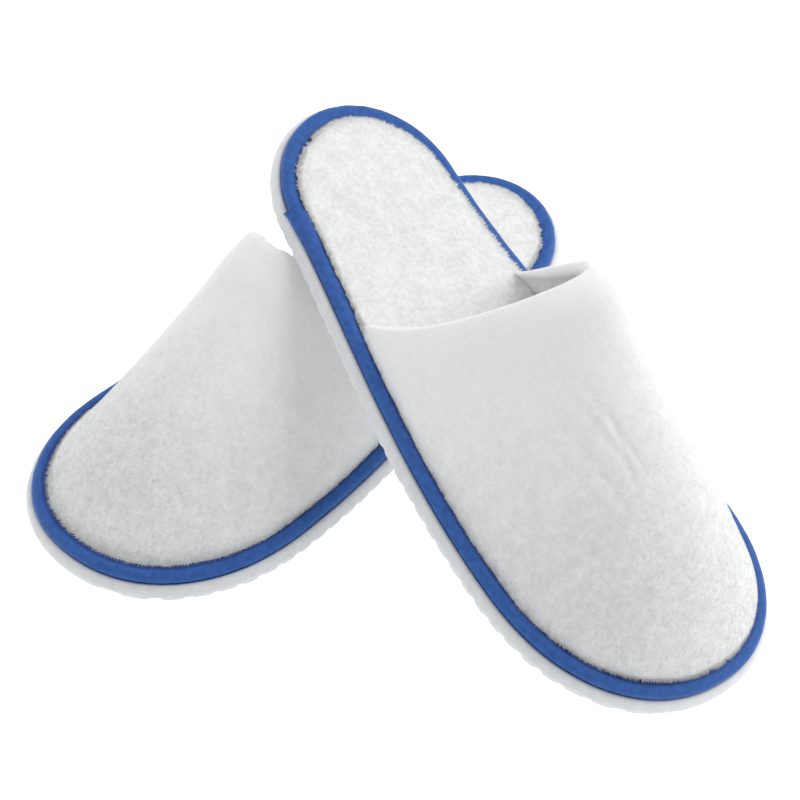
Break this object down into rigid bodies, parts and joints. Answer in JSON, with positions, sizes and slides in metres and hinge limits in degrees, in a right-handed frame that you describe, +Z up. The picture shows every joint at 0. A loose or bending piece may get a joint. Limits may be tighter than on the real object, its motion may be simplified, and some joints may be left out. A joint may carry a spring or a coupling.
{
  "type": "spa slippers",
  "caption": "Pair of closed-toe fleece spa slippers with a blue bound edge and ribbed foam soles, one lying across the other.",
  "frame": {"origin": "middle of the left slipper's resting face, on the surface that the pair stands on", "axes": "+Z up; +Y from the left slipper's heel to its toe; +X to the left slipper's inner side, by the right-hand rule"},
  "size_m": [0.2798, 0.2822, 0.1236],
  "materials": {
    "eva_sole": "matte foamed sole with cross grooves",
    "board": "stiff fibre board",
    "foam": "soft open foam",
    "fleece": "short soft pile",
    "blue_tape": "woven tape with a soft sheen",
    "blue_thread": "spun thread",
    "lining": "smooth brushed knit",
    "white_thread": "spun thread"
  },
  "bodies": {
    "left_slipper": {"left_outsole": "eva_sole", "left_insole_board": "board", "left_footbed_foam": "foam", "left_footbed_cover": "fleece", "left_binding": "blue_tape", "left_binding_stitch": "blue_thread", "left_vamp_outer": "fleece", "left_vamp_padding": "foam", "left_vamp_lining": "lining", "left_throat_stitch": "white_thread"},
    "right_slipper": {"right_outsole": "eva_sole", "right_insole_board": "board", "right_footbed_foam": "foam", "right_footbed_cover": "fleece", "right_binding": "blue_tape", "right_binding_stitch": "blue_thread", "right_vamp_outer": "fleece", "right_vamp_padding": "foam", "right_vamp_lining": "lining", "right_throat_stitch": "white_thread"}
  },
  "joints": [
    {"name": "right_slipper_lift", "type": "slide", "parent": "left_slipper", "child": "right_slipper", "axis": [0, 0, 1], "range_m": [0, 0.12]}
  ]
}
